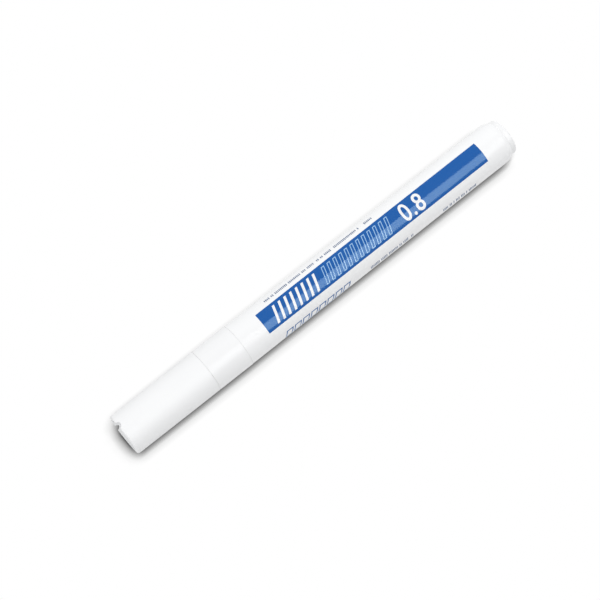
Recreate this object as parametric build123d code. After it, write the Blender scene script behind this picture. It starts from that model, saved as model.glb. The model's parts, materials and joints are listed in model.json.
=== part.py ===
from build123d import *
import math
import os

# Valve-action paint marker, lying along X with the nib towards -X and the rear plug towards +X.
# Lengths are in millimetres. Pieces are drawn about the X axis, with x = 0 at the barrel's front edge,
# and are moved at the end so that the origin is under the marker's middle, on the surface it lies on.

# Barrel: drawn aluminium tube, rolled in at the rear
barrel_diameter = 12.5
barrel_length = 92.5
barrel_wall = 0.5
shoulder_length = 2.2
shoulder_drop = 0.8
lip_rounding = 0.12

# Rear plug: its head covers the tube's lip, its hollow skirt snaps in behind it
plug_head_length = 1.7
plug_head_step = 0.05
plug_edge_rounding = 0.6
plug_skirt_depth = 6.0
plug_wall = 0.9
plug_bead_height = 0.25
plug_bead_length = 1.1
plug_bead_setback = 0.9

# Front section: collar, neck under the cap, seal land, nose cone, and the spigot in the tube
collar_length = 11.1
collar_step = 0.05
collar_draft = 0.05
collar_rounding = 0.2
neck_length = 7.4
neck_bead_height = 0.25
neck_bead_length = 1.4
neck_bead_setback = 2.2
land_length = 2.2
land_step = 1.1
nose_tip_diameter = 3.4
section_wall = 1.2
section_edge_rounding = 0.25
spigot_length = 8.0
spigot_lead_in = 0.4
valve_depth = 8.0

# O-ring between the spigot and the tube
o_ring_thickness = 0.8
o_ring_setback = 2.0

# Cap: notched rim round a recessed end, ribs inside that grip the inner cap
cap_length = 27.27
cap_wall = 0.95
cap_draft = 0.14
cap_end_wall = 0.8
cap_end_rounding = 0.45
cap_mouth_rounding = 0.08
cap_rim_width = 1.0
cap_recess_depth = 1.2
cap_notch_count = 3
cap_notch_radius = 1.0
cap_notch_angle = 16.0
cap_rib_count = 6
cap_rib_width = 1.0
cap_rib_root = 0.25
inner_cap_wall = 0.65
inner_cap_taper = 0.5
inner_cap_mouth_gap = 0.3
inner_cap_rounding = 0.25

# Nib and the pipe that guides it
nib_line_width = 0.8
nib_tip_rounding = 0.3
nib_shank_diameter = 1.0
nib_body_diameter = 2.0
nib_exposed = 2.4
nib_room = 4.4
guide_diameter = 2.4
guide_tip_diameter = 1.6
guide_exposed = 1.8
guide_flange_length = 0.8
buffer_end_gap = 0.3

# Valve: seat with a sealing lip, plunger with a soft washer, spring, and a windowed cage
valve_stroke = 2.0
seat_length = 3.5
seat_bore_diameter = 2.4
seat_lip_height = 0.4
seat_lip_width = 0.4
seat_lip_margin = 0.3
stem_rod_diameter = 1.4
stem_rod_reach = 2.0
stem_boss_diameter = 2.2
stem_flange_length = 1.0
stem_tail_reach = 0.8
stem_tail_chamfer = 0.5
seal_thickness = 0.9
seal_margin = 0.3
spring_wire = 0.45
spring_active_turns = 6
spring_play = 0.15
cage_wall = 0.7
cage_end_wall = 1.2
cage_window_count = 4
cage_window_width = 3.2
cage_window_length = 3.0
cage_window_margin = 0.6

# Mixing ball, lying on the tank's wall midway along its travel
ball_diameter = 6.0
ball_end_room = 0.5

# Clearances
sliding_gap = 0.05
press_gap = 0.02
seat_gap = 0.05
cap_gap = 0.03
spring_gap = 0.02
nib_buffer_gap = 0.1
ball_gap = 0.1

# Radii that follow from the tube outwards to the cap and inwards to the valve
barrel_radius = barrel_diameter / 2
tank_radius = barrel_radius - barrel_wall
lip_radius = barrel_radius - shoulder_drop
collar_rear_radius = barrel_radius + collar_step
collar_front_radius = collar_rear_radius - collar_draft
cap_bore_radius = collar_front_radius - cap_wall
neck_bead_radius = cap_bore_radius - sliding_gap
neck_radius = neck_bead_radius - neck_bead_height
land_radius = neck_radius - land_step
chamber_radius = land_radius - section_wall
nose_tip_radius = nose_tip_diameter / 2
guide_radius = guide_diameter / 2
spigot_radius = tank_radius - press_gap
valve_bore_radius = spigot_radius - section_wall
seat_bore_radius = seat_bore_diameter / 2
lip_inner_radius = seat_bore_radius + seat_lip_margin
seal_radius = lip_inner_radius + seat_lip_width + seal_margin
inner_cap_bore_radius = land_radius - inner_cap_taper
ball_radius = ball_diameter / 2

# Stations along X, from the cap's end to the rear
collar_front = -collar_length
neck_front = collar_front - neck_length
land_front = neck_front - land_length
cap_mouth = collar_front - cap_gap
cap_end = cap_mouth - cap_length
cap_floor = cap_end + cap_recess_depth + cap_end_wall
inner_cap_floor = cap_floor + press_gap + inner_cap_wall
nib_tip = inner_cap_floor + nib_room
guide_tip = nib_tip + nib_exposed
nose_tip = guide_tip + guide_exposed
guide_rear = land_front + guide_flange_length
seat_front = -valve_depth
seat_rear = seat_front + seat_length
stem_front = seat_front - stem_rod_reach
nib_rear = stem_front - seat_gap
seal_front = seat_rear + seat_lip_height + seat_gap
stem_flange_front = seal_front + seal_thickness
stem_flange_rear = stem_flange_front + stem_flange_length
cage_window_front = spigot_length + cage_window_margin
cage_floor = cage_window_front + cage_window_length + cage_window_margin
cage_rear = cage_floor + cage_end_wall
stem_rear = cage_rear + stem_tail_reach
plug_front = barrel_length - plug_skirt_depth
plug_rear = barrel_length + plug_head_length
ball_front_stop = stem_rear + valve_stroke + ball_end_room + ball_radius
ball_rear_stop = plug_front - ball_end_room - ball_radius


def turned(*corners, rounding=0):
    """Solid turned about the X axis from (x, radius) corners, with one rounding or one for each corner."""
    return revolve(make_face(FilletPolyline(*corners, radius=rounding, close=True)), Axis.X)


def make_barrel():
    roll_radius = (shoulder_length**2 + shoulder_drop**2) / (2 * shoulder_drop)
    roll_start = barrel_length - shoulder_length
    inner_roll_radius = roll_radius - barrel_wall
    lip_bore = barrel_radius - roll_radius + math.sqrt(inner_roll_radius**2 - shoulder_length**2)
    outline = [
        Line((0, tank_radius), (0, barrel_radius)),
        Line((0, barrel_radius), (roll_start, barrel_radius)),
        TangentArc((roll_start, barrel_radius), (barrel_length, lip_radius), tangent=(1, 0)),
        Line((barrel_length, lip_radius), (barrel_length, lip_bore)),
        TangentArc((roll_start, tank_radius), (barrel_length, lip_bore), tangent=(1, 0)),
        Line((roll_start, tank_radius), (0, tank_radius)),
    ]
    tube = revolve(make_face(outline), Axis.X)
    lip_edge = tube.edges().filter_by(GeomType.CIRCLE).group_by(Axis.X)[-1].sort_by(SortBy.RADIUS)[-1]
    return fillet(lip_edge, lip_rounding), lip_bore


def make_rear_plug(lip_bore):
    head_radius = lip_radius - plug_head_step
    skirt_radius = lip_bore - press_gap
    bead_radius = skirt_radius + plug_bead_height
    bead_rear = barrel_length - plug_bead_setback
    bead_front = bead_rear - plug_bead_length
    head = turned(
        (barrel_length, 0),
        (plug_rear, 0),
        (plug_rear, head_radius),
        (barrel_length, head_radius),
        rounding=[0, 0, plug_edge_rounding, lip_rounding],
    )
    skirt = turned(
        (plug_front, skirt_radius - plug_wall),
        (plug_front, skirt_radius),
        (bead_front, skirt_radius),
        (bead_front + plug_bead_height, bead_radius),
        (bead_rear - plug_bead_height, bead_radius),
        (bead_rear, skirt_radius),
        (barrel_length, skirt_radius),
        (barrel_length, skirt_radius - plug_wall),
    )
    return head + skirt


def make_front_section():
    bead_rear = collar_front - neck_bead_setback
    bead_front = bead_rear - neck_bead_length
    groove_rear = spigot_length - o_ring_setback
    groove_front = groove_rear - o_ring_thickness - 2 * press_gap
    groove_radius = tank_radius - o_ring_thickness - 2 * press_gap
    return turned(
        (nose_tip, guide_radius + press_gap),
        (nose_tip, nose_tip_radius),
        (land_front, land_radius),
        (neck_front, land_radius),
        (neck_front, neck_radius),
        (bead_front, neck_radius),
        (bead_front + neck_bead_height, neck_bead_radius),
        (bead_rear - neck_bead_height, neck_bead_radius),
        (bead_rear, neck_radius),
        (collar_front, neck_radius),
        (collar_front, collar_front_radius),
        (0, collar_rear_radius),
        (0, spigot_radius),
        (groove_front, spigot_radius),
        (groove_front, groove_radius),
        (groove_rear, groove_radius),
        (groove_rear, spigot_radius),
        (spigot_length - spigot_lead_in, spigot_radius),
        (spigot_length, spigot_radius - spigot_lead_in),
        (spigot_length, valve_bore_radius),
        (seat_front, valve_bore_radius),
        (seat_front, chamber_radius),
        (land_front, chamber_radius),
        (land_front, guide_radius + press_gap),
        rounding=[0, section_edge_rounding, 0, 0, section_edge_rounding, 0, 0, 0, 0, 0]
        + [cap_mouth_rounding, collar_rounding]
        + [0] * 12,
    )


def make_o_ring():
    section_radius = o_ring_thickness / 2
    centre_x = spigot_length - o_ring_setback - press_gap - section_radius
    centre_radius = tank_radius - press_gap - section_radius
    return revolve(Pos(centre_x, centre_radius) * Circle(section_radius), Axis.X)


def make_nib_guide():
    bore_radius = nib_shank_diameter / 2 + sliding_gap
    return turned(
        (guide_tip, bore_radius),
        (guide_tip, guide_tip_diameter / 2),
        (nose_tip, guide_radius),
        (land_front, guide_radius),
        (land_front, chamber_radius - press_gap),
        (guide_rear, chamber_radius - press_gap),
        (guide_rear, bore_radius),
    )


def make_nib():
    tip_radius = nib_line_width / 2
    shank_radius = nib_shank_diameter / 2
    body_radius = nib_body_diameter / 2
    shoulder = guide_rear + seat_gap
    return turned(
        (nib_tip, 0),
        (nib_tip, tip_radius),
        (guide_tip, shank_radius),
        (shoulder, shank_radius),
        (shoulder, body_radius),
        (nib_rear, body_radius),
        (nib_rear, 0),
        rounding=[0, nib_tip_rounding, 0, 0, 0, 0, 0],
    )


def make_ink_buffer():
    bore_radius = nib_body_diameter / 2 + nib_buffer_gap
    front = guide_rear + buffer_end_gap
    rear = seat_front - buffer_end_gap
    outer_radius = chamber_radius - press_gap
    return turned((front, bore_radius), (front, outer_radius), (rear, outer_radius), (rear, bore_radius))


def make_valve_seat():
    lip_outer_radius = lip_inner_radius + seat_lip_width
    lip_top = seat_rear + seat_lip_height
    outer_radius = valve_bore_radius - press_gap
    return turned(
        (seat_front, seat_bore_radius),
        (seat_front, outer_radius),
        (seat_rear, outer_radius),
        (seat_rear, lip_outer_radius),
        (lip_top, lip_outer_radius),
        (lip_top, lip_inner_radius),
        (seat_rear, lip_inner_radius),
        (seat_rear, seat_bore_radius),
    )


def make_valve_stem():
    rod_radius = stem_rod_diameter / 2
    boss_radius = stem_boss_diameter / 2
    tail_radius = seal_radius - spring_wire - 2 * spring_play
    return turned(
        (stem_front, 0),
        (stem_front, rod_radius),
        (seal_front, rod_radius),
        (seal_front, boss_radius),
        (stem_flange_front, boss_radius),
        (stem_flange_front, seal_radius),
        (stem_flange_rear, seal_radius),
        (stem_flange_rear, tail_radius),
        (stem_rear - stem_tail_chamfer, tail_radius),
        (stem_rear, tail_radius - stem_tail_chamfer),
        (stem_rear, 0),
    ), tail_radius


def make_valve_seal():
    bore_radius = stem_boss_diameter / 2 + press_gap
    rear = stem_flange_front - press_gap
    return turned(
        (seal_front, bore_radius),
        (seal_front, seal_radius),
        (rear, seal_radius),
        (rear, bore_radius),
    )


def make_valve_cage(tail_radius):
    outer_radius = valve_bore_radius - press_gap
    inner_radius = outer_radius - cage_wall
    bore_radius = tail_radius + sliding_gap
    cup = turned(
        (seat_rear, inner_radius),
        (seat_rear, outer_radius),
        (cage_rear, outer_radius),
        (cage_rear, bore_radius),
        (cage_floor, bore_radius),
        (cage_floor, inner_radius),
    )
    window = Pos(cage_window_front + cage_window_length / 2, outer_radius, 0) * Box(
        cage_window_length, 3 * cage_wall, cage_window_width
    )
    for number in range(cage_window_count):
        cup -= Rot(X=number * 360 / cage_window_count) * window
    return cup


def coil_path(front, rear, radius):
    """Helix about X with a flat half turn at each end, as two tangent arcs to each quarter turn."""
    active_quarters = 4 * spring_active_turns
    rise = (rear - front) / active_quarters
    rises = [0, 0] + [rise] * active_quarters + [0, 0]
    x = front
    knots = []
    for number, (before, after) in enumerate(zip([0] + rises, rises + [0])):
        x += before
        angle = number * math.pi / 2
        slope = min(before, after) / (math.pi / 2)
        place = Vector(x, radius * math.cos(angle), radius * math.sin(angle))
        heading = Vector(slope, -radius * math.sin(angle), radius * math.cos(angle)).normalized()
        knots.append((place, heading))
    arcs = []
    for (start, start_heading), (end, end_heading) in zip(knots, knots[1:]):
        chord = end - start
        spread = 1 - start_heading.dot(end_heading)
        along = chord.dot(start_heading + end_heading)
        handle = (math.sqrt(along**2 + 2 * spread * chord.dot(chord)) - along) / (2 * spread)
        bend = start + start_heading * handle
        unbend = end - end_heading * handle
        middle = (bend + unbend) / 2
        arcs.append(TangentArc(start, middle, tangent=start_heading))
        arcs.append(TangentArc(middle, end, tangent=unbend - bend))
    return arcs, knots[0]


def make_valve_spring():
    wire_radius = spring_wire / 2
    mean_radius = seal_radius - spring_play - wire_radius
    front = stem_flange_rear + spring_gap + wire_radius
    rear = cage_floor - spring_gap - wire_radius
    arcs, (start, heading) = coil_path(front, rear, mean_radius)
    spring = sweep(Plane(origin=start, z_dir=heading) * Circle(wire_radius), path=Wire(arcs))
    samples = [arc @ (step / 4) for arc in arcs for step in range(4)]
    half_turn = 2 * 2 * 4
    least_gap = min(
        (samples[later] - sample).length
        for number, sample in enumerate(samples)
        for later in range(number + half_turn, len(samples))
    ) - spring_wire
    length = sum(arc.length for arc in arcs)
    print(f"spring: least gap to itself {least_gap:.2f} mm")
    print(f"spring: volume over section times length {spring.volume / (math.pi * wire_radius**2 * length):.4f}")
    return spring


def make_mixing_ball():
    centre_x = (ball_front_stop + ball_rear_stop) / 2
    return Pos(centre_x, 0, ball_radius + ball_gap - tank_radius) * Sphere(ball_radius)


def make_cap_shell():
    end_radius = collar_front_radius - cap_draft
    rim_radius = end_radius - cap_rim_width
    recess_floor = cap_end + cap_recess_depth
    shell = turned(
        (recess_floor, 0),
        (recess_floor, rim_radius),
        (cap_end, rim_radius),
        (cap_end, end_radius),
        (cap_mouth, collar_front_radius),
        (cap_mouth, cap_bore_radius),
        (cap_floor, cap_bore_radius),
        (cap_floor, 0),
        rounding=[0, 0, cap_mouth_rounding, cap_end_rounding, cap_mouth_rounding, cap_mouth_rounding, 0, 0],
    )
    notch = Pos(cap_end, 0, end_radius) * Cylinder(cap_notch_radius, 3 * cap_rim_width)
    for number in range(cap_notch_count):
        shell -= Rot(X=number * 360 / cap_notch_count - cap_notch_angle) * notch
    rib_length = nose_tip - cap_floor
    rib_inner = inner_cap_bore_radius + inner_cap_wall + press_gap
    rib_outer = cap_bore_radius + cap_rib_root
    rib = Pos(cap_floor, rib_inner, 0) * Box(
        rib_length, rib_outer - rib_inner, cap_rib_width, align=(Align.MIN, Align.MIN, Align.CENTER)
    )
    for number in range(cap_rib_count):
        shell += Rot(X=number * 360 / cap_rib_count) * rib
    return shell


def make_inner_cap():
    mouth_bore = land_radius + sliding_gap
    mouth = neck_front - inner_cap_mouth_gap
    flare_rear = land_front - inner_cap_mouth_gap
    base = cap_floor + press_gap
    return turned(
        (base, 0),
        (base, inner_cap_bore_radius + inner_cap_wall),
        (nose_tip, inner_cap_bore_radius + inner_cap_wall),
        (flare_rear, mouth_bore + inner_cap_wall),
        (mouth, mouth_bore + inner_cap_wall),
        (mouth, mouth_bore),
        (flare_rear, mouth_bore),
        (nose_tip, inner_cap_bore_radius),
        (inner_cap_floor, inner_cap_bore_radius),
        (inner_cap_floor, 0),
        rounding=[0, inner_cap_rounding, 0, 0, 0, 0, 0, 0, inner_cap_rounding, 0],
    )


def main():
    barrel, lip_bore = make_barrel()
    valve_stem, tail_radius = make_valve_stem()
    pieces = {
        "barrel": barrel,
        "rear_plug": make_rear_plug(lip_bore),
        "front_section": make_front_section(),
        "section_o_ring": make_o_ring(),
        "nib_guide": make_nib_guide(),
        "nib": make_nib(),
        "ink_buffer": make_ink_buffer(),
        "valve_seat": make_valve_seat(),
        "valve_stem": valve_stem,
        "valve_seal": make_valve_seal(),
        "valve_spring": make_valve_spring(),
        "valve_cage": make_valve_cage(tail_radius),
        "mixing_ball": make_mixing_ball(),
        "cap_shell": make_cap_shell(),
        "inner_cap": make_inner_cap(),
    }
    to_rest = Pos(-(cap_end + plug_rear) / 2, 0, collar_rear_radius)
    os.makedirs("parts", exist_ok=True)
    for name, piece in pieces.items():
        export_step(to_rest * piece, f"parts/{name}.step")


main()
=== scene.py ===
"""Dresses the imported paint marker: a white lacquered tube with a printed blue band, a glossy collar, a satin
cap and plug, and the nib and valve pieces inside. Lengths are in metres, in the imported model's own frame."""

import json
import math

import bpy
from mathutils import Matrix, Vector


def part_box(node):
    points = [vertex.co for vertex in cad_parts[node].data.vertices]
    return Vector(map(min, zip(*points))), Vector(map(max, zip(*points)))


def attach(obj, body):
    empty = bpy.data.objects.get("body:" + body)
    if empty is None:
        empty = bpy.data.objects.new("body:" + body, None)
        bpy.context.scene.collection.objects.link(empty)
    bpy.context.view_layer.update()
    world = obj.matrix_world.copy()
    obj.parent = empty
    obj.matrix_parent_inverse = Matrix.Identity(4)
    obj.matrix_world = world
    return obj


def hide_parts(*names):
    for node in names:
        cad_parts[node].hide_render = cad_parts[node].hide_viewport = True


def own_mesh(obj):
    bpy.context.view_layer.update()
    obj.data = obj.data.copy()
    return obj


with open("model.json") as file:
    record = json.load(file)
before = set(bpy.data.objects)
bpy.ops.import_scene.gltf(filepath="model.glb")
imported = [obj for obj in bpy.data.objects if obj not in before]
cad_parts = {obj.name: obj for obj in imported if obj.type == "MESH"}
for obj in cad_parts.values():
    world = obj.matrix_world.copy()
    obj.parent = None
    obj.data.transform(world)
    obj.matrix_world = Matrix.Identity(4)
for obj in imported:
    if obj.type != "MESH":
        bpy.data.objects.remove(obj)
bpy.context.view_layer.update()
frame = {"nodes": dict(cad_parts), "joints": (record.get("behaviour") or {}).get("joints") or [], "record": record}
scene = bpy.context.scene
scene.view_settings.view_transform = "Standard"

MM = 0.001

# Tube that carries the print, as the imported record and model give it
GRIP = next(mount for mount in frame["record"]["mounts"] if mount["name"] == "barrel_grip")
TUBE_RADIUS = GRIP["dims"]["r_mm"] * MM
AXIS_HEIGHT = GRIP["pos_m"][2]
TUBE_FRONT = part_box("barrel")[0].x

# Print: x runs from the tube's front edge, and angles run about its axis from the top towards +Y
INK = 0.02 * MM
INK_ROOT = -0.01 * MM
BAND_START = 7.65 * MM
BAND_LENGTH = 76.65 * MM
BAND_LOW = math.radians(-39.6)
BAND_HIGH = math.radians(19.6)
BAND_ROWS = 48
MARK_HEIGHT = 4.8 * MM
MARK_TURN = math.radians(-10.8)
MARK_ROWS = 25
MARK_SLANT = 0.32
SOLID_COUNT = 8
SOLID_START = 11.8 * MM
SOLID_PITCH = 1.95 * MM
SOLID_WIDTH = 0.75 * MM
OUTLINE_COUNT = 12
OUTLINE_START = 28.6 * MM
OUTLINE_PITCH = 1.98 * MM
OUTLINE_WIDTH = 1.05 * MM
OUTLINE_STROKE = 0.22 * MM
NUMBER_TEXT = "0.8"
NUMBER_START = 55.5 * MM
NUMBER_HEIGHT = 5.2 * MM
NUMBER_TURN = math.radians(-10.5)
NUMBER_NARROWING = 0.81
NUMBER_SPACING = 1.1
NUMBER_BOLDNESS = 0.012
TICK_ROWS = 5
TICK_WIDTH = 0.28 * MM
TICK_PITCH = 0.46 * MM
TICK_MISSING = 0.2
TICK_UNEVEN = 0.3
TICKS = {
    "upper_ticks": {
        "Start": 12.0 * MM, "Count": 81, "Height": 0.95 * MM, "Turn": math.radians(36.3), "Seed": 3,
    },
    "middle_ticks": {
        "Start": 40.9 * MM, "Count": 33, "Height": 1.6 * MM, "Turn": math.radians(-81.5), "Seed": 8,
    },
    "rear_ticks": {
        "Start": 66.7 * MM, "Count": 27, "Height": 1.5 * MM, "Turn": math.radians(-80.5), "Seed": 5,
    },
}
BOX_COUNT = 8
BOX_START = 11.5 * MM
BOX_PITCH = 2.82 * MM
BOX_WIDTH = 2.35 * MM
BOX_HEIGHT = 2.9 * MM
BOX_STROKE = 0.36 * MM
BOX_TURN = math.radians(-81)
PRINT_FINENESS = 3
JOIN_DISTANCE = 1e-7
SHARP_EDGE = math.radians(30)

# Orange peel of the lacquer, which the ink on it follows
PEEL_SCALE = 520.0
PEEL_DEPTH = 0.01 * MM

# Valve spring
SPRING_TURNS = 6
SPRING_WIRE = 0.45 * MM
SPRING_STEPS = 36
SPRING_SIDES = 16

# Camera at the photograph's viewing angle
CAMERA_AZIMUTH = math.radians(-39.6)
CAMERA_ELEVATION = math.radians(72.5)
CAMERA_DISTANCE = 450 * MM
CAMERA_AIM = Vector((-7.15, -0.62, 5.86)) * MM
CAMERA_LENS = 100.8
CAMERA_SENSOR = 36.0

# Studio
SKY_LIGHT = 0.81
KEY_SIDE = Vector((0.636, 0.772, 0))
KEY_TILT = math.radians(27)
KEY_DISTANCE = 0.8
KEY_SIZE = 0.5
KEY_POWER = 1.85
FILL_PLACE = Vector((-0.66, -0.1, 0.08))
FILL_SIZE = 0.3
FILL_POWER = 0.4
STRIP_DISTANCE = 0.6
STRIP_TILT = math.radians(29.6)
STRIP_WIDTH = 0.413
STRIP_LENGTH = 1.4
STRIP_SHIFT = 0.12
STRIP_POWER = 11.8
FLOOR_SIZE = 6.0
FLOOR_BOUNCE_RIGHT = 0.72
FLOOR_BOUNCE_LEFT = 0.5
FLOOR_BLEND = 10 * MM
SHADOW_SAMPLES = 16
SHADOW_DARKEST = 0.2
SIDE_SHADOW = {"looking": (0, 0, 1), "reach": 3.0 * MM, "dark_at": 0.514, "bright_at": 0.971}
END_SHADOW = {"looking": (0.604, -0.22, 0.766), "reach": 5.0 * MM, "dark_at": 0.275, "bright_at": 0.935}


class Field:
    """An output socket of a node. Arithmetic on it adds the Math nodes that it needs."""

    def __init__(self, plan, socket):
        self.plan = plan
        self.socket = socket

    def output(self, name):
        return Field(self.plan, self.socket.node.outputs[name])

    def __add__(self, other):
        return self.plan.maths("ADD", self, other)

    def __radd__(self, other):
        return self.plan.maths("ADD", other, self)

    def __sub__(self, other):
        return self.plan.maths("SUBTRACT", self, other)

    def __rsub__(self, other):
        return self.plan.maths("SUBTRACT", other, self)

    def __mul__(self, other):
        return self.plan.maths("MULTIPLY", self, other)

    def __rmul__(self, other):
        return self.plan.maths("MULTIPLY", other, self)

    def __truediv__(self, other):
        return self.plan.maths("DIVIDE", self, other)

    def __gt__(self, other):
        return self.plan.maths("GREATER_THAN", self, other)


class Plan:
    """A node tree under construction, for a material, the world or a Geometry Nodes modifier."""

    def __init__(self, tree):
        self.tree = tree
        tree.nodes.clear()

    def node(self, kind, settings=None, sockets=None, output=0):
        """Adds a node: its settings first, then the values or links of its sockets."""
        made = self.tree.nodes.new(kind)
        for name, value in (settings or {}).items():
            setattr(made, name, value)
        for name, value in (sockets or {}).items():
            if isinstance(value, Field):
                self.tree.links.new(value.socket, made.inputs[name])
            else:
                made.inputs[name].default_value = value
        return Field(self, made.outputs[output]) if made.outputs else made

    def maths(self, operation, first, second=0.0):
        return self.node("ShaderNodeMath", {"operation": operation}, {0: first, 1: second})

    def mix(self, factor, first, second):
        return self.node("ShaderNodeMix", {"data_type": "RGBA"}, {0: factor, 6: first, 7: second}, output=2)

    def split(self, vector):
        parts = self.node("ShaderNodeSeparateXYZ", sockets={0: vector})
        return [parts.output(axis) for axis in "XYZ"]

    def vector(self, x, y, z):
        return self.node("ShaderNodeCombineXYZ", sockets={0: x, 1: y, 2: z})

    def noise(self, place, scale, detail=2.0):
        return self.node("ShaderNodeTexNoise", sockets={"Vector": place, "Scale": scale, "Detail": detail})

    def stretched(self, place, scale):
        return self.node("ShaderNodeMapping", {"vector_type": "TEXTURE"}, {"Vector": place, "Scale": scale})

    def bump(self, height, distance):
        return self.node("ShaderNodeBump", sockets={"Height": height, "Distance": distance, "Strength": 1.0})


def finish_plan(name):
    """A new material with its plan and the Object coordinates of its piece."""
    material = bpy.data.materials.new(name)
    material.use_nodes = True
    plan = Plan(material.node_tree)
    place = plan.node("ShaderNodeTexCoord").output("Object")
    return material, plan, place


def surface(plan, sockets):
    """Closes a material with one shader that has these values and links."""
    shader = plan.node("ShaderNodeBsdfPrincipled", sockets=sockets)
    plan.node("ShaderNodeOutputMaterial", sockets={"Surface": shader})


def white_lacquer():
    """Stoved white lacquer: glossy, with a faint orange peel and a hardly visible change of tone."""
    material, plan, place = finish_plan("tube_white_lacquer")
    tone = plan.noise(place, 70.0)
    peel = plan.noise(place, PEEL_SCALE, detail=1.0)
    haze = plan.noise(place, 2400.0)
    surface(plan, {
        "Base Color": plan.mix(tone, (0.9, 0.907, 0.917, 1), (0.925, 0.93, 0.937, 1)),
        "Roughness": 0.1 + 0.08 * haze,
        "Specular IOR Level": 0.09,
        "Normal": plan.bump(peel, PEEL_DEPTH),
    })
    return material


def printed_ink(name, light, dark, specular, glint=(1, 1, 1, 1)):
    """Screen-printed ink: fine mottling of the tone and a soft gloss that follows the lacquer below."""
    material, plan, place = finish_plan(name)
    mottle = plan.noise(place, 3200.0, detail=3.0)
    peel = plan.noise(place, PEEL_SCALE, detail=1.0)
    surface(plan, {
        "Base Color": plan.mix(mottle, light, dark),
        "Roughness": 0.1 + 0.08 * mottle,
        "Specular IOR Level": specular,
        "Specular Tint": glint,
        "Normal": plan.bump(peel, PEEL_DEPTH),
    })
    return material


def moulded_plastic(name, light, dark, roughness, specular, grain):
    """Moulded plastic: a fine spark-eroded grain and slow flow marks along the piece."""
    material, plan, place = finish_plan(name)
    flow = plan.noise(plan.stretched(place, (4.0, 1.0, 1.0)), 260.0)
    speckle = plan.noise(place, 5200.0, detail=3.0)
    surface(plan, {
        "Base Color": plan.mix(flow, light, dark),
        "Roughness": roughness + 0.1 * (speckle - 0.5),
        "Specular IOR Level": specular,
        "Normal": plan.bump(speckle, grain),
    })
    return material


def turned_steel(name, base, roughness):
    """Steel with the fine rings that turning or drawing leaves about the marker's axis."""
    material, plan, place = finish_plan(name)
    rings = plan.noise(plan.stretched(place, (0.04, 1.0, 1.0)), 700.0, detail=4.0)
    dark = tuple(0.85 * part for part in base) + (1,)
    surface(plan, {
        "Base Color": plan.mix(rings, dark, base + (1,)),
        "Roughness": roughness + 0.2 * (rings - 0.5),
        "Metallic": 1.0,
        "Normal": plan.bump(rings, 0.002 * MM),
    })
    return material


def seal_rubber():
    """Black rubber: matt and grainy, with a pale bloom in places."""
    material, plan, place = finish_plan("black_seal_rubber")
    bloom = plan.noise(place, 900.0)
    grain = plan.noise(place, 6000.0, detail=3.0)
    surface(plan, {
        "Base Color": plan.mix(bloom, (0.045, 0.045, 0.05, 1), (0.08, 0.08, 0.085, 1)),
        "Roughness": 0.6 + 0.2 * grain,
        "Normal": plan.bump(grain, 0.005 * MM),
    })
    return material


def bonded_fibre(name, light, dark):
    """Fibres drawn along the marker and bonded, as in nibs and ink buffers."""
    material, plan, place = finish_plan(name)
    strands = plan.noise(plan.stretched(place, (12.0, 1.0, 1.0)), 7000.0, detail=3.0)
    surface(plan, {
        "Base Color": plan.mix(strands, light, dark),
        "Roughness": 0.7 + 0.2 * strands,
        "Normal": plan.bump(strands, 0.01 * MM),
    })
    return material


def geometry_plan(name, sizes):
    """A new Geometry Nodes tree with these named inputs, and the inputs as fields."""
    tree = bpy.data.node_groups.new(name, "GeometryNodeTree")
    plan = Plan(tree)
    for label, kind in sizes.items():
        tree.interface.new_socket(label, in_out="INPUT", socket_type="NodeSocket" + kind)
    tree.interface.new_socket("Geometry", in_out="OUTPUT", socket_type="NodeSocketGeometry")
    start = plan.node("NodeGroupInput")
    return plan, {label: start.output(label) for label in sizes}


def close_plan(plan, geometry, material):
    """Ends a Geometry Nodes tree with plain geometry of one material."""
    realized = plan.node("GeometryNodeRealizeInstances", sockets={"Geometry": geometry})
    painted = plan.node("GeometryNodeSetMaterial", sockets={"Geometry": realized, "Material": material})
    plan.node("NodeGroupOutput", sockets={0: painted})
    return plan.tree


def inked_on_tube(plan, flat, given):
    """Gives flat print in x and y the ink's thickness, and bends it round the tube."""
    lower = plan.node("GeometryNodeFlipFaces", sockets={"Mesh": flat})
    lift = plan.vector(0.0, 0.0, given["Ink"])
    upper = plan.node("GeometryNodeExtrudeMesh", {"mode": "FACES"},
                      {"Mesh": flat, "Offset": lift, "Individual": False})
    joined = plan.node("GeometryNodeJoinGeometry")
    for part in (upper, lower):
        plan.tree.links.new(part.socket, joined.socket.node.inputs[0])
    closed = plan.node("GeometryNodeMergeByDistance", sockets={
        "Geometry": joined, "Distance": JOIN_DISTANCE,
    })
    x, y, z = plan.split(plan.node("GeometryNodeInputPosition"))
    angle = given["Turn"] + y / TUBE_RADIUS
    reach = TUBE_RADIUS + given["Root"] + z
    around = plan.vector(
        TUBE_FRONT + given["Start"] + x,
        reach * plan.maths("SINE", angle),
        AXIS_HEIGHT + reach * plan.maths("COSINE", angle),
    )
    return plan.node("GeometryNodeSetPosition", sockets={"Geometry": closed, "Position": around})


PRINT_SIZES = {"Start": "Float", "Turn": "Float", "Root": "Float", "Ink": "Float", "Material": "Material"}


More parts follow.
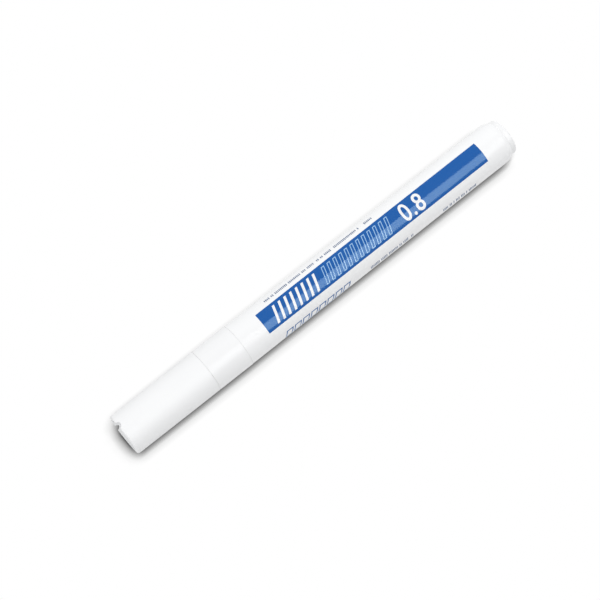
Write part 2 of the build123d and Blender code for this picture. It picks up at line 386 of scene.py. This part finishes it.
def print_row_tree():
    """A row of slanted bars on the tube: solid ones, or outlines where Stroke is set.
    Missing is the share of bars left out, and Uneven the largest share of its height that a bar loses."""
    plan, given = geometry_plan("print_row", {
        "Count": "Int", "Pitch": "Float", "Width": "Float", "Height": "Float", "Slant": "Float",
        "Stroke": "Float", "Rows": "Int", "Missing": "Float", "Uneven": "Float", "Seed": "Int",
        **PRINT_SIZES,
    })
    solid = plan.node("GeometryNodeMeshGrid", sockets={
        "Size X": given["Width"], "Size Y": given["Height"],
        "Vertices X": 2, "Vertices Y": given["Rows"],
    })
    rims = plan.node("GeometryNodeJoinGeometry")
    for inset in (0.0, 2.0):
        rim = plan.node("GeometryNodeCurvePrimitiveQuadrilateral", {"mode": "RECTANGLE"}, {
            "Width": given["Width"] - inset * given["Stroke"],
            "Height": given["Height"] - inset * given["Stroke"],
        })
        plan.tree.links.new(rim.socket, rims.socket.node.inputs[0])
    outline = plan.node("GeometryNodeFillCurve", {"mode": "TRIANGLES"}, {"Curve": rims})
    fine_outline = plan.node("GeometryNodeSubdivideMesh", sockets={"Mesh": outline, "Level": PRINT_FINENESS})
    shape = plan.node("GeometryNodeSwitch", {"input_type": "GEOMETRY"}, {
        "Switch": given["Stroke"] > 0.0, "False": solid, "True": fine_outline,
    })
    x, y, z = plan.split(plan.node("GeometryNodeInputPosition"))
    slanted = plan.node("GeometryNodeSetPosition", sockets={
        "Geometry": shape,
        "Position": plan.vector(x + given["Width"] / 2 + given["Slant"] * y, y, z),
    })
    places = plan.node("GeometryNodeMeshLine", sockets={
        "Count": given["Count"], "Offset": plan.vector(given["Pitch"], 0.0, 0.0),
    })
    gaps = plan.node("FunctionNodeRandomValue", {"data_type": "BOOLEAN"}, {
        "Probability": given["Missing"], "Seed": given["Seed"],
    }, output=3)
    kept = plan.node("GeometryNodeDeleteGeometry", sockets={"Geometry": places, "Selection": gaps})
    shortening = plan.node("FunctionNodeRandomValue", {"data_type": "FLOAT"}, {
        2: 0.0, 3: given["Uneven"], "Seed": given["Seed"] + 1,
    }, output=1)
    row = plan.node("GeometryNodeInstanceOnPoints", sockets={
        "Points": kept, "Instance": slanted, "Scale": plan.vector(1.0, 1.0 - shortening, 1.0),
    })
    flat = plan.node("GeometryNodeRealizeInstances", sockets={"Geometry": row})
    return close_plan(plan, inked_on_tube(plan, flat, given), given["Material"])


def print_number_tree():
    """A flat number bent round the tube, scaled to the given height."""
    plan, given = geometry_plan("print_number", {"Number": "Geometry", "Height": "Float", **PRINT_SIZES})
    fine = plan.node("GeometryNodeSubdivideMesh", sockets={
        "Mesh": given["Number"], "Level": PRINT_FINENESS,
    })
    bounds = plan.node("GeometryNodeBoundBox", sockets={"Geometry": given["Number"]})
    low_x, low_y, _ = plan.split(bounds.output("Min"))
    _, high_y, _ = plan.split(bounds.output("Max"))
    x, y, z = plan.split(plan.node("GeometryNodeInputPosition"))
    scale = given["Height"] / (high_y - low_y)
    sized = plan.vector((x - low_x) * scale, (y - low_y) * scale - given["Height"] / 2, z)
    flat = plan.node("GeometryNodeSetPosition", sockets={"Geometry": fine, "Position": sized})
    return close_plan(plan, inked_on_tube(plan, flat, given), given["Material"])


def coil_tree():
    """A wound spring along X, with a flat half turn at each end."""
    plan, given = geometry_plan("coil", {
        "Front": "Float", "Rear": "Float", "Radius": "Float", "Wire": "Float",
        "Turns": "Int", "Steps": "Int", "Sides": "Int", "Material": "Material",
    })
    line = plan.node("GeometryNodeMeshLine", sockets={
        "Count": (given["Turns"] + 1) * given["Steps"] + 1,
    })
    turn = plan.node("GeometryNodeInputIndex") / given["Steps"]
    angle = turn * math.tau
    climb = plan.node("ShaderNodeMapRange", {"clamp": True}, {
        "Value": turn, "From Min": 0.5, "From Max": given["Turns"] + 0.5,
        "To Min": given["Front"], "To Max": given["Rear"],
    })
    wound = plan.node("GeometryNodeSetPosition", sockets={
        "Geometry": line,
        "Position": plan.vector(
            climb,
            given["Radius"] * plan.maths("COSINE", angle),
            AXIS_HEIGHT + given["Radius"] * plan.maths("SINE", angle),
        ),
    })
    centre_line = plan.node("GeometryNodeMeshToCurve", sockets={"Mesh": wound})
    section = plan.node("GeometryNodeCurvePrimitiveCircle", {"mode": "RADIUS"}, {
        "Resolution": given["Sides"], "Radius": given["Wire"],
    })
    wire = plan.node("GeometryNodeCurveToMesh", sockets={
        "Curve": centre_line, "Profile Curve": section, "Fill Caps": True,
    })
    return close_plan(plan, wire, given["Material"])


def grown_piece(name, tree, values, start=None):
    """Runs a tree with these values and returns its result as a plain mesh in an object at the origin."""
    maker = bpy.data.objects.new(name + "_maker", start or bpy.data.meshes.new(name + "_start"))
    modifier = maker.modifiers.new("shape", "NODES")
    modifier.node_group = tree
    for item in tree.interface.items_tree:
        if item.in_out == "INPUT" and item.socket_type != "NodeSocketGeometry":
            modifier[item.identifier] = values[item.name]
    scene.collection.objects.link(maker)
    shown = maker.evaluated_get(bpy.context.evaluated_depsgraph_get())
    mesh = bpy.data.meshes.new_from_object(shown)
    bpy.data.objects.remove(maker)
    mesh.name = name
    mesh.shade_smooth()
    mesh.set_sharp_from_angle(angle=SHARP_EDGE)
    piece = bpy.data.objects.new(name, mesh)
    scene.collection.objects.link(piece)
    return piece


def number_mesh():
    """A plain number as a flat mesh: the built-in digits, narrowed and then made bolder."""
    text = bpy.data.curves.new("line_width_text", "FONT")
    text.body = NUMBER_TEXT
    text.space_character = NUMBER_SPACING
    writer = bpy.data.objects.new("line_width_text", text)
    scene.collection.objects.link(writer)
    outline = writer.to_curve(bpy.context.evaluated_depsgraph_get()).copy()
    bpy.data.objects.remove(writer)
    outline.transform(Matrix.Diagonal((NUMBER_NARROWING, 1, 1, 1)))
    outline.offset = NUMBER_BOLDNESS
    shape = bpy.data.objects.new("line_width_outline", outline)
    scene.collection.objects.link(shape)
    mesh = bpy.data.meshes.new_from_object(shape.evaluated_get(bpy.context.evaluated_depsgraph_get()))
    bpy.data.objects.remove(shape)
    return mesh


def print_piece(name, tree, values, material, layer, start=None):
    """A printed piece on the tube, on the given layer of ink above the lacquer."""
    common = {
        "Count": 1, "Pitch": 0.0, "Slant": 0.0, "Stroke": 0.0, "Missing": 0.0, "Uneven": 0.0, "Seed": 0,
    }
    place = {"Root": INK_ROOT + layer * INK, "Ink": INK - INK_ROOT, "Material": material}
    piece = grown_piece(name, tree, {**common, **place, **values}, start)
    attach(piece, "marker")


def make_print():
    """The blue band with the marks and the number on it, and the small print beside it."""
    row = print_row_tree()
    blue = printed_ink(
        "band_blue_ink", (0.004, 0.088, 0.36, 1), (0.006, 0.1, 0.39, 1), specular=0.3, glint=(0.72, 1, 1, 1),
    )
    white = printed_ink("mark_white_ink", (0.9, 0.905, 0.91, 1), (0.86, 0.87, 0.885, 1), specular=0.15)
    pale = printed_ink("outline_pale_ink", (0.36, 0.58, 0.83, 1), (0.3, 0.52, 0.79, 1), specular=0.3)
    slate = printed_ink("small_print_slate_ink", (0.13, 0.18, 0.29, 1), (0.17, 0.22, 0.33, 1), specular=0.3)
    navy = printed_ink("box_navy_ink", (0.07, 0.16, 0.36, 1), (0.09, 0.19, 0.4, 1), specular=0.3)
    print_piece("blue_band", row, {
        "Start": BAND_START, "Width": BAND_LENGTH, "Rows": BAND_ROWS,
        "Turn": (BAND_LOW + BAND_HIGH) / 2, "Height": (BAND_HIGH - BAND_LOW) * TUBE_RADIUS,
    }, blue, 0)
    marks = {"Turn": MARK_TURN, "Height": MARK_HEIGHT, "Slant": MARK_SLANT, "Rows": MARK_ROWS}
    print_piece("solid_bars", row, {
        **marks,
        "Start": SOLID_START, "Count": SOLID_COUNT, "Pitch": SOLID_PITCH, "Width": SOLID_WIDTH,
    }, white, 1)
    print_piece("outlined_bars", row, {
        **marks,
        "Start": OUTLINE_START, "Count": OUTLINE_COUNT, "Pitch": OUTLINE_PITCH,
        "Width": OUTLINE_WIDTH, "Stroke": OUTLINE_STROKE,
    }, pale, 1)
    print_piece("line_width_number", print_number_tree(), {
        "Start": NUMBER_START, "Height": NUMBER_HEIGHT, "Turn": NUMBER_TURN,
    }, white, 1, number_mesh())
    tick = {
        "Width": TICK_WIDTH, "Pitch": TICK_PITCH, "Rows": TICK_ROWS,
        "Missing": TICK_MISSING, "Uneven": TICK_UNEVEN,
    }
    for name, values in TICKS.items():
        print_piece(name, row, {**tick, **values}, slate, 0)
    print_piece("outlined_boxes", row, {
        "Start": BOX_START, "Count": BOX_COUNT, "Pitch": BOX_PITCH, "Width": BOX_WIDTH,
        "Height": BOX_HEIGHT, "Stroke": BOX_STROKE, "Turn": BOX_TURN, "Slant": MARK_SLANT,
        "Rows": MARK_ROWS,
    }, navy, 0)


def make_spring(steel):
    """The valve spring as a wound coil in the CAD spring's place, which it hides."""
    low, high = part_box("valve_spring")
    wire_radius = SPRING_WIRE / 2
    mean_radius = (high.y - low.y) / 2 - wire_radius
    spring = grown_piece("valve_spring_coil", coil_tree(), {
        "Front": low.x + wire_radius, "Rear": high.x - wire_radius, "Radius": mean_radius,
        "Wire": wire_radius, "Turns": SPRING_TURNS, "Steps": SPRING_STEPS, "Sides": SPRING_SIDES,
        "Material": steel,
    })
    lift = next(joint for joint in frame["joints"] if joint["name"] == "valve_lift")
    stroke = lift["range_m"][1]
    length = high.x - low.x
    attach(spring, "marker")
    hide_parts("valve_spring")
    1 - stroke / length
    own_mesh(spring)


def paint_nodes():
    """Gives each CAD node its finish."""
    gloss_white = ((0.885, 0.892, 0.9, 1), (0.91, 0.915, 0.922, 1))
    milky = ((0.86, 0.85, 0.81, 1), (0.9, 0.89, 0.85, 1))
    cap_plastic = moulded_plastic(
        "cap_satin_plastic", *gloss_white, roughness=0.55, specular=0.2, grain=0.004 * MM,
    )
    collar_plastic = moulded_plastic(
        "collar_glossy_plastic", *gloss_white, roughness=0.25, specular=0.11, grain=0.001 * MM,
    )
    plug_plastic = moulded_plastic(
        "plug_satin_plastic", *gloss_white, roughness=0.45, specular=0.2, grain=0.003 * MM,
    )
    natural_plastic = moulded_plastic(
        "natural_plastic", *milky, roughness=0.4, specular=0.3, grain=0.003 * MM,
    )
    rubber = seal_rubber()
    finishes = {
        "barrel": white_lacquer(),
        "rear_plug": plug_plastic,
        "front_section": collar_plastic,
        "cap_shell": cap_plastic,
        "inner_cap": natural_plastic,
        "valve_seat": natural_plastic,
        "valve_stem": natural_plastic,
        "valve_cage": natural_plastic,
        "section_o_ring": rubber,
        "valve_seal": rubber,
        "nib_guide": turned_steel("guide_steel", (0.72, 0.72, 0.73), roughness=0.28),
        "mixing_ball": turned_steel("ball_steel", (0.8, 0.8, 0.81), roughness=0.12),
        "nib": bonded_fibre("nib_fibre", (0.9, 0.89, 0.85, 1), (0.84, 0.83, 0.79, 1)),
        "ink_buffer": bonded_fibre("buffer_fibre", (0.88, 0.88, 0.85, 1), (0.78, 0.78, 0.75, 1)),
    }
    for name, material in finishes.items():
        for slot in frame["nodes"][name].material_slots:
            slot.material = material


def make_camera():
    """A camera that looks at the marker from the photograph's place."""
    back = Vector((
        math.sin(CAMERA_AZIMUTH) * math.cos(CAMERA_ELEVATION),
        -math.cos(CAMERA_AZIMUTH) * math.cos(CAMERA_ELEVATION),
        math.sin(CAMERA_ELEVATION),
    ))
    right = Vector((math.cos(CAMERA_AZIMUTH), math.sin(CAMERA_AZIMUTH), 0))
    turn = Matrix((right, back.cross(right), back)).transposed()
    data = bpy.data.cameras.new("photo_camera")
    data.lens = CAMERA_LENS
    data.sensor_width = CAMERA_SENSOR
    camera = bpy.data.objects.new("photo_camera", data)
    camera.matrix_world = Matrix.Translation(CAMERA_AIM + CAMERA_DISTANCE * back) @ turn.to_4x4()
    scene.collection.objects.link(camera)
    scene.camera = camera


def area_light(name, place, aim, size, length, power):
    """A rectangular light at a place, turned towards its aim."""
    data = bpy.data.lights.new(name, "AREA")
    data.shape = "RECTANGLE"
    data.size = length
    data.size_y = size
    data.energy = power
    light = bpy.data.objects.new(name, data)
    light.rotation_euler = (place - aim).to_track_quat("Z", "Y").to_euler()
    light.location = place
    scene.collection.objects.link(light)
    return light


def seen_directly(plan):
    """1 where a camera, mirror or glass ray meets the surface, and 0 for light on other things."""
    rays = plan.node("ShaderNodeLightPath")
    seen = rays.output("Is Camera Ray")
    for kind in ("Is Glossy Ray", "Is Transmission Ray"):
        seen = plan.maths("MAXIMUM", seen, rays.output(kind))
    return seen


def contact_shadow(plan, looking, reach, dark_at, bright_at):
    """The floor's brightness: 1 where nothing stands within a short reach in the looking direction."""
    opening = plan.node("ShaderNodeAmbientOcclusion", {"samples": SHADOW_SAMPLES}, {
        "Distance": reach, "Normal": plan.vector(*looking),
    }, output="AO")
    return plan.node("ShaderNodeMapRange", {"clamp": True}, {
        "Value": opening, "From Min": dark_at, "From Max": bright_at, "To Min": SHADOW_DARKEST,
    })


def make_lights():
    """A key, a weak fill for the cap's end, and a strip that only glossy surfaces show."""
    aim = Vector((0, 0, AXIS_HEIGHT))
    key_side = math.sin(KEY_TILT) * KEY_SIDE + Vector((0, 0, math.cos(KEY_TILT)))
    key_place = aim + KEY_DISTANCE * key_side
    key = area_light("softbox_key", key_place, aim, KEY_SIZE, KEY_SIZE, KEY_POWER)
    key.visible_glossy = False
    fill = area_light("cap_end_fill", FILL_PLACE, aim, FILL_SIZE, FILL_SIZE, FILL_POWER)
    fill.visible_glossy = False
    away = Vector((0, -math.sin(STRIP_TILT), math.cos(STRIP_TILT)))
    strip_place = aim + STRIP_DISTANCE * away + Vector((STRIP_SHIFT, 0, 0))
    strip_aim = aim + Vector((STRIP_SHIFT, 0, 0))
    strip = area_light("strip_softbox", strip_place, strip_aim, STRIP_WIDTH, STRIP_LENGTH, STRIP_POWER)
    strip.visible_diffuse = False


def make_white_room():
    """White surroundings, which light the marker a little less than they look."""
    world = bpy.data.worlds.new("white_room")
    world.use_nodes = True
    scene.world = world
    plan = Plan(world.node_tree)
    sky = SKY_LIGHT + (1 - SKY_LIGHT) * seen_directly(plan)
    background = plan.node("ShaderNodeBackground", sockets={"Color": (1, 1, 1, 1), "Strength": sky})
    plan.node("ShaderNodeOutputWorld", sockets={"Surface": background})


def make_floor():
    """White paper that throws more light on the marker's -Y side, with a soft shadow under the marker."""
    mesh = bpy.data.meshes.new("floor")
    half = FLOOR_SIZE / 2
    corners = [(-half, -half, 0), (half, -half, 0), (half, half, 0), (-half, half, 0)]
    mesh.from_pydata(corners, [], [(0, 1, 2, 3)])
    floor = bpy.data.objects.new("floor", mesh)
    scene.collection.objects.link(floor)
    material, plan, place = finish_plan("white_floor")
    _, across, _ = plan.split(place)
    whiteness = plan.node("ShaderNodeMapRange", {"clamp": True}, {
        "Value": across, "From Min": -FLOOR_BLEND, "From Max": FLOOR_BLEND,
        "To Min": FLOOR_BOUNCE_RIGHT, "To Max": FLOOR_BOUNCE_LEFT,
    })
    bounce = plan.node("ShaderNodeBsdfDiffuse", sockets={"Color": whiteness})
    shade = contact_shadow(plan, **SIDE_SHADOW) * contact_shadow(plan, **END_SHADOW)
    paper = plan.node("ShaderNodeEmission", sockets={"Color": (1, 1, 1, 1), "Strength": shade})
    shader = plan.node("ShaderNodeMixShader", sockets={0: seen_directly(plan), 1: bounce, 2: paper})
    plan.node("ShaderNodeOutputMaterial", sockets={"Surface": shader})
    mesh.materials.append(material)


paint_nodes()
make_print()
make_spring(turned_steel("spring_steel", (0.66, 0.66, 0.67), roughness=0.3))
make_camera()
make_lights()
make_white_room()
make_floor()
